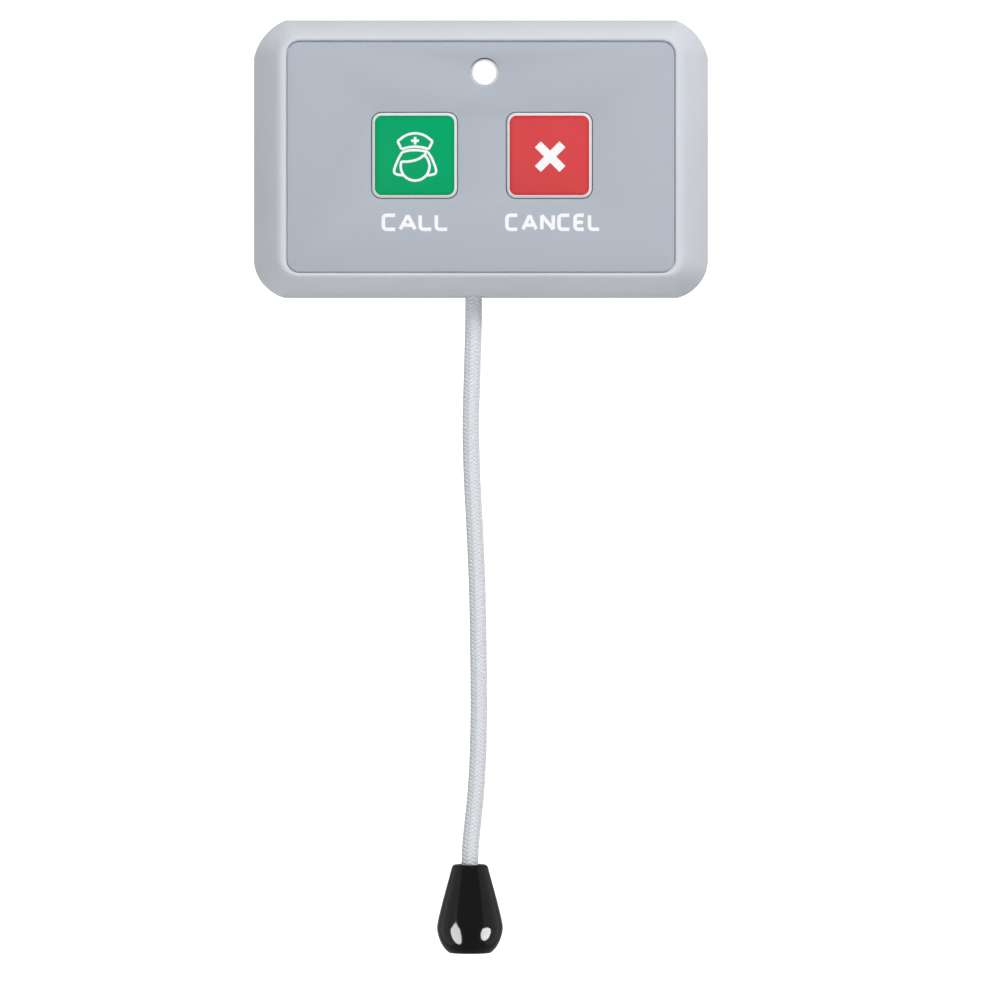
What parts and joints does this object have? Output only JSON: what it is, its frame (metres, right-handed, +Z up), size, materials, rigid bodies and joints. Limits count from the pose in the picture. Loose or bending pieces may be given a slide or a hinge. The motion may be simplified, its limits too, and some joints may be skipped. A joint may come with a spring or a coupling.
{
  "type": "staff call button",
  "caption": "Wall-mounted staff call button with green call key, red cancel key, signal lamp and a braided pull cord with a teardrop knob.",
  "frame": {"origin": "centre of the back face of the case, on the wall plane", "axes": "+Z up along the wall, +X to the right as seen from the room, front faces -Y, +Y into the wall"},
  "size_m": [0.086, 0.017, 0.1767],
  "materials": {
    "case_plastic": "light cool grey moulded plastic, fine satin grain",
    "overlay_film": "grey-blue printed polycarbonate film, fine matt texture",
    "green_key": "green printed key with a white border, satin",
    "red_key": "red printed key with a white border, satin",
    "lamp_resin": "milky white diffused lamp resin",
    "screw_steel": "zinc-plated steel",
    "board_laminate": "green solder mask on glass-fibre laminate",
    "spring_steel": "bright nickel-plated sheet and wire",
    "black_plastic": "black moulded component body",
    "copper_wire": "enamelled copper wire",
    "battery_jacket": "plain battery jacket with bare metal ends",
    "grey_plastic": "grey acetal, slightly waxy",
    "cord_braid": "white braided polyester cord",
    "knob_plastic": "high-gloss black moulded plastic"
  },
  "bodies": {
    "case": {"front_housing": "case_plastic", "rear_cover": "case_plastic", "face_overlay": "overlay_film", "signal_lamp": "lamp_resin", "case_screw_1": "screw_steel", "case_screw_2": "screw_steel", "case_screw_3": "screw_steel", "case_screw_4": "screw_steel", "circuit_board": "board_laminate", "board_screw_1": "screw_steel", "board_screw_2": "screw_steel", "call_switch": "spring_steel", "cancel_switch": "spring_steel", "controller_chip": "black_plastic", "oscillator_can": "spring_steel", "antenna_coil": "copper_wire", "capacitor_1": "black_plastic", "capacitor_2": "black_plastic", "resistor_1": "black_plastic", "resistor_2": "black_plastic", "resistor_3": "black_plastic", "battery": "battery_jacket", "battery_contact_plate": "spring_steel", "battery_contact_spring": "spring_steel", "return_spring": "spring_steel", "pull_switch": "black_plastic"},
    "call_key": {"call_button": "green_key", "call_switch_plunger": "black_plastic"},
    "cancel_key": {"cancel_button": "red_key", "cancel_switch_plunger": "black_plastic"},
    "pull": {"pull_slider": "grey_plastic", "cord_knot_upper": "cord_braid", "pull_cord": "cord_braid", "cord_knot_lower": "cord_braid", "cord_knob": "knob_plastic"},
    "lever": {"switch_lever": "spring_steel"},
    "snap_button": {"switch_button": "red_key"}
  },
  "joints": [
    {"name": "call_press", "type": "slide", "parent": "case", "child": "call_key", "axis": [0, 1, 0], "range_m": [0, 0.0005], "stiffness_N_per_m": 3000, "springref_m": -0.0003},
    {"name": "cancel_press", "type": "slide", "parent": "case", "child": "cancel_key", "axis": [0, 1, 0], "range_m": [0, 0.0005], "stiffness_N_per_m": 3000, "springref_m": -0.0003},
    {"name": "cord_pull", "type": "slide", "parent": "case", "child": "pull", "axis": [0, 0, -1], "range_m": [0, 0.003], "stiffness_N_per_m": 400, "springref_m": -0.003, "deforming": ["return_spring"]},
    {"name": "lever_turn", "type": "hinge", "parent": "case", "child": "lever", "pos_m": [0.0209, -0.0054, -0.01606], "axis": [0, -1, 0], "range_deg": [0, 12]},
    {"name": "snap_press", "type": "slide", "parent": "case", "child": "snap_button", "axis": [0, 0, -1], "range_m": [0, 0.0007]}
  ],
  "couplings": [
    {"joint": "lever_turn", "follows": "cord_pull", "rad_per_m": 69},
    {"joint": "snap_press", "follows": "cord_pull", "ratio": 0.21}
  ]
}
